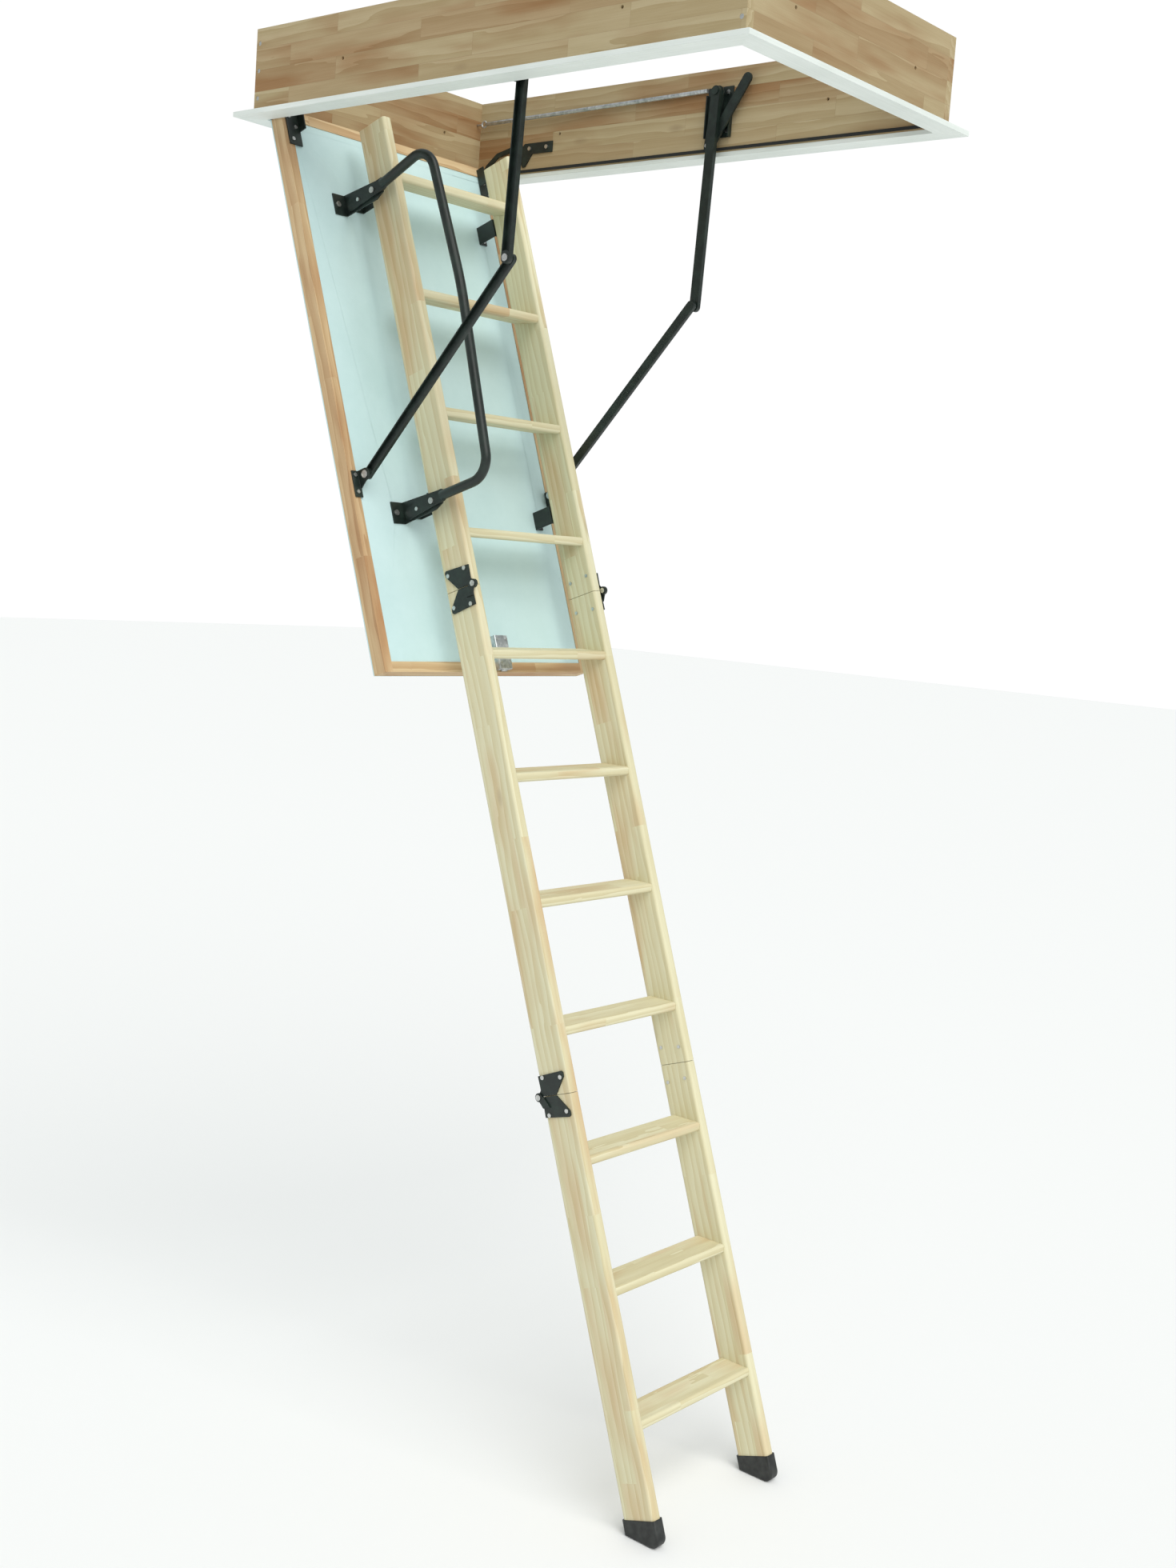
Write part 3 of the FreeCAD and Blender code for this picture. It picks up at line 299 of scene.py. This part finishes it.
trim_along = primed_trim("primed_trim_along", (0, 0, 0))
trim_across = primed_trim("primed_trim_across", (0, 0, quarter))
for name in ("trim_near", "trim_far"):
    finish_node(name, trim_along)
for name in ("trim_hinge_end", "trim_free_end"):
    finish_node(name, trim_across)

# --- Hatch seal ------------------------------------------------------------
# A thin strip of black extruded rubber inside the boards, matt, with fine lengthwise
# die lines.
seal_rubber, tree = blank_material("extruded_black_rubber")
coords = add_node(tree, "ShaderNodeTexCoord")
lines = add_node(tree, "ShaderNodeTexNoise",
                 {"Vector": coords.outputs["Object"], "Scale": 700.0, "Detail": 3.0})
tone = add_node(tree, "ShaderNodeValToRGB", {"Fac": lines.outputs["Fac"]})
tone.color_ramp.elements[0].color = linear("#101211")
tone.color_ramp.elements[1].color = linear("#262928")
relief = add_node(tree, "ShaderNodeBump",
                  {"Height": lines.outputs["Fac"], "Strength": 0.2, "Distance": 0.0003})
shader = add_node(tree, "ShaderNodeBsdfPrincipled", {"Base Color": tone.outputs["Color"], "Roughness": 0.8,
                                                     "Normal": relief.outputs["Normal"]})
add_node(tree, "ShaderNodeOutputMaterial", {"Surface": shader.outputs["BSDF"]})
finish_node("hatch_seal", seal_rubber, 0.4)

# --- Hatch -----------------------------------------------------------------
# A softwood frame round a foam core, faced on both sides with thin white-coated board.
# The rails show as a pine rim; the faces have a cool, slightly mottled satin coat.
open_turn = math.radians(70)
rim_side_pine = pine("planed_pine_hatch_sides", "#d6bf97", "#b18f66", "#cf9f7f",
                     (-quarter, 0, open_turn), strips=0.0)
rim_end_pine = pine("planed_pine_hatch_ends", "#d6bf97", "#b18f66", "#cf9f7f", (0, 0, quarter), strips=0.0)
finish_node("hatch_side_rails", rim_side_pine)
finish_node("hatch_end_rails", rim_end_pine)

white_face, tree = blank_material("white_coated_board")
coords = add_node(tree, "ShaderNodeTexCoord")
mottle = add_node(tree, "ShaderNodeTexNoise",
                  {"Vector": coords.outputs["Object"], "Scale": 4.0, "Detail": 4.0})
scuffs = add_node(tree, "ShaderNodeTexNoise", {"Vector": coords.outputs["Object"], "Scale": 45.0,
                                               "Detail": 8.0, "Roughness": 0.7})
blend = add_node(tree, "ShaderNodeMath", {0: scuffs.outputs["Fac"], 1: 0.35, 2: mottle.outputs["Fac"]},
                 operation="MULTIPLY_ADD")
tone = add_node(tree, "ShaderNodeValToRGB", {"Fac": blend.outputs[0]})
tone.color_ramp.elements[0].position = 0.4
tone.color_ramp.elements[0].color = linear("#bcd9da")
tone.color_ramp.elements[1].position = 1.0
tone.color_ramp.elements[1].color = linear("#cde6e8")
gloss = add_node(tree, "ShaderNodeMapRange",
                 {"Value": scuffs.outputs["Fac"], "To Min": 0.38, "To Max": 0.6})
relief = add_node(tree, "ShaderNodeBump", {"Height": scuffs.outputs["Fac"], "Strength": 0.12,
                                           "Distance": 0.0004})
shader = add_node(tree, "ShaderNodeBsdfPrincipled", {"Base Color": tone.outputs["Color"],
                                                     "Roughness": gloss.outputs["Result"],
                                                     "Normal": relief.outputs["Normal"]})
add_node(tree, "ShaderNodeOutputMaterial", {"Surface": shader.outputs["BSDF"]})
finish_node("hatch_top_panel", white_face, 0.3)
finish_node("hatch_bottom_panel", white_face, 0.4)

foam, tree = blank_material("bead_foam")
coords = add_node(tree, "ShaderNodeTexCoord")
beads = add_node(tree, "ShaderNodeTexVoronoi", {"Vector": coords.outputs["Object"], "Scale": 320.0})
tone = add_node(tree, "ShaderNodeValToRGB", {"Fac": beads.outputs["Distance"]})
tone.color_ramp.elements[0].color = linear("#f4f3ec")
tone.color_ramp.elements[1].color = linear("#d5d4cb")
relief = add_node(tree, "ShaderNodeBump", {"Height": beads.outputs["Distance"], "Strength": 0.4,
                                           "Distance": 0.0006})
shader = add_node(tree, "ShaderNodeBsdfPrincipled", {"Base Color": tone.outputs["Color"], "Roughness": 0.85,
                                                     "Normal": relief.outputs["Normal"]})
add_node(tree, "ShaderNodeOutputMaterial", {"Surface": shader.outputs["BSDF"]})
finish_node("hatch_core", foam, 0)

# --- Ladder ----------------------------------------------------------------
# Stiles and treads of planed and sanded pine, pale and nearly knot-free, with the edges
# already rounded by the cutter. Stiles run with the slope, treads across it.
stile_pine = pine("sanded_pine_stiles", "#dedbbd", "#c8bd93", "#ecc9b0",
                  (-quarter, 0, open_turn), strips=0.0)
tread_count = 11
tread_pine = pine("sanded_pine_treads", "#dfdbbc", "#c6ba8f", "#ebc8ae", (0, 0, quarter), strips=0.0)
for section in ("upper", "middle", "lower"):
    for side in ("near", "far"):
        finish_node("stile_%s_%s" % (section, side), stile_pine, 0)
for index in range(1, tread_count + 1):
    finish_node("tread_%02d" % index, tread_pine, 0)

# --- Feet ------------------------------------------------------------------
# Moulded black plastic caps pushed over the ends of the stiles, with a fine spark
# texture and slightly scuffed soles.
foot_plastic, tree = blank_material("moulded_black_polypropylene")
coords = add_node(tree, "ShaderNodeTexCoord")
spark = add_node(tree, "ShaderNodeTexNoise",
                 {"Vector": coords.outputs["Object"], "Scale": 1200.0, "Detail": 2.0})
dust = add_node(tree, "ShaderNodeTexNoise",
                {"Vector": coords.outputs["Object"], "Scale": 60.0, "Detail": 6.0})
tone = add_node(tree, "ShaderNodeValToRGB", {"Fac": dust.outputs["Fac"]})
tone.color_ramp.elements[0].position = 0.35
tone.color_ramp.elements[0].color = linear("#141716")
tone.color_ramp.elements[1].position = 0.9
tone.color_ramp.elements[1].color = linear("#3a3d3b")
relief = add_node(tree, "ShaderNodeBump",
                  {"Height": spark.outputs["Fac"], "Strength": 0.35, "Distance": 0.0003})
shader = add_node(tree, "ShaderNodeBsdfPrincipled", {"Base Color": tone.outputs["Color"], "Roughness": 0.5,
                                                     "Normal": relief.outputs["Normal"]})
add_node(tree, "ShaderNodeOutputMaterial", {"Surface": shader.outputs["BSDF"]})
for side in ("near", "far"):
    finish_node("foot_%s" % side, foot_plastic, 0.8)

# --- Black steel parts -----------------------------------------------------
# Pressed plate and bent tube under black powder coat: satin, with a faint orange peel
# and a few paler rubbed spots.
powder_coat, tree = blank_material("black_powder_coated_steel")
coords = add_node(tree, "ShaderNodeTexCoord")
peel = add_node(tree, "ShaderNodeTexNoise",
                {"Vector": coords.outputs["Object"], "Scale": 650.0, "Detail": 2.0})
rubs = add_node(tree, "ShaderNodeTexNoise",
                {"Vector": coords.outputs["Object"], "Scale": 38.0, "Detail": 7.0, "Roughness": 0.65})
tone = add_node(tree, "ShaderNodeValToRGB", {"Fac": rubs.outputs["Fac"]})
tone.color_ramp.elements[0].position = 0.45
tone.color_ramp.elements[0].color = linear("#121d19")
tone.color_ramp.elements[1].position = 0.85
tone.color_ramp.elements[1].color = linear("#26372f")
gloss = add_node(tree, "ShaderNodeMapRange", {"Value": rubs.outputs["Fac"], "To Min": 0.3, "To Max": 0.52})
relief = add_node(tree, "ShaderNodeBump",
                  {"Height": peel.outputs["Fac"], "Strength": 0.25, "Distance": 0.0003})
shader = add_node(tree, "ShaderNodeBsdfPrincipled", {"Base Color": tone.outputs["Color"],
                                                     "Roughness": gloss.outputs["Result"],
                                                     "Normal": relief.outputs["Normal"]})
add_node(tree, "ShaderNodeOutputMaterial", {"Surface": shader.outputs["BSDF"]})
for name in ("hatch_hinge_brackets", "arm_brackets", "upper_arms", "lower_arms", "crank_levers",
             "arm_frame_pins", "arm_clevises", "hatch_corner_plates", "spacer_brackets", "handrail",
             "handrail_brackets", "fold_plates_upper", "fold_plates_middle", "fold_plates_lower"):
    finish_node(name, powder_coat, 0.5)

# --- Fasteners -------------------------------------------------------------
# Zinc-plated screws, pins and rivets: bright, slightly blue-grey, with a soft brushed
# variation from the plating barrel.
zinc_plate, tree = blank_material("zinc_plated_steel")
coords = add_node(tree, "ShaderNodeTexCoord")
barrel = add_node(tree, "ShaderNodeTexNoise",
                  {"Vector": coords.outputs["Object"], "Scale": 400.0, "Detail": 5.0})
tone = add_node(tree, "ShaderNodeValToRGB", {"Fac": barrel.outputs["Fac"]})
tone.color_ramp.elements[0].position = 0.3
tone.color_ramp.elements[0].color = linear("#b4b6b3")
tone.color_ramp.elements[1].position = 0.8
tone.color_ramp.elements[1].color = linear("#e6e7e4")
gloss = add_node(tree, "ShaderNodeMapRange",
                 {"Value": barrel.outputs["Fac"], "To Min": 0.22, "To Max": 0.45})
relief = add_node(tree, "ShaderNodeBump",
                  {"Height": barrel.outputs["Fac"], "Strength": 0.1, "Distance": 0.0002})
shader = add_node(tree, "ShaderNodeBsdfPrincipled", {"Base Color": tone.outputs["Color"], "Metallic": 1.0,
                                                     "Roughness": gloss.outputs["Result"],
                                                     "Normal": relief.outputs["Normal"]})
add_node(tree, "ShaderNodeOutputMaterial", {"Surface": shader.outputs["BSDF"]})
for name in ("casing_screws", "hatch_fasteners", "spacer_screws", "joint_rivets_upper",
             "joint_rivets_middle", "joint_rivets_lower", "knee_rivets", "arm_hatch_pins",
             "hatch_hinge_pins"):
    finish_node(name, zinc_plate, 0.7)

# --- Galvanised parts ------------------------------------------------------
# The tubes beside the boards, the latch and its keeper: hot-dip galvanised steel with a
# visible spangle of flat crystals a few millimetres across.
galvanised, tree = blank_material("galvanised_steel")
coords = add_node(tree, "ShaderNodeTexCoord")
spangle = add_node(tree, "ShaderNodeTexVoronoi", {"Vector": coords.outputs["Object"], "Scale": 210.0})
haze = add_node(tree, "ShaderNodeTexNoise",
                {"Vector": coords.outputs["Object"], "Scale": 70.0, "Detail": 5.0})
crystal = add_node(tree, "ShaderNodeMath", {0: spangle.outputs["Color"], 1: 0.5, 2: haze.outputs["Fac"]},
                   operation="MULTIPLY_ADD")
tone = add_node(tree, "ShaderNodeValToRGB", {"Fac": crystal.outputs[0]})
tone.color_ramp.elements[0].position = 0.3
tone.color_ramp.elements[0].color = linear("#8f9698")
tone.color_ramp.elements[1].position = 1.0
tone.color_ramp.elements[1].color = linear("#d2d6d8")
gloss = add_node(tree, "ShaderNodeMapRange", {"Value": crystal.outputs[0], "To Min": 0.25, "To Max": 0.5})
relief = add_node(tree, "ShaderNodeBump",
                  {"Height": haze.outputs["Fac"], "Strength": 0.1, "Distance": 0.0002})
shader = add_node(tree, "ShaderNodeBsdfPrincipled", {"Base Color": tone.outputs["Color"], "Metallic": 0.9,
                                                     "Roughness": gloss.outputs["Result"],
                                                     "Normal": relief.outputs["Normal"]})
add_node(tree, "ShaderNodeOutputMaterial", {"Surface": shader.outputs["BSDF"]})
for name in ("spring_tubes", "latch_case", "latch_bolt", "latch_keeper"):
    finish_node(name, galvanised, 0.4)
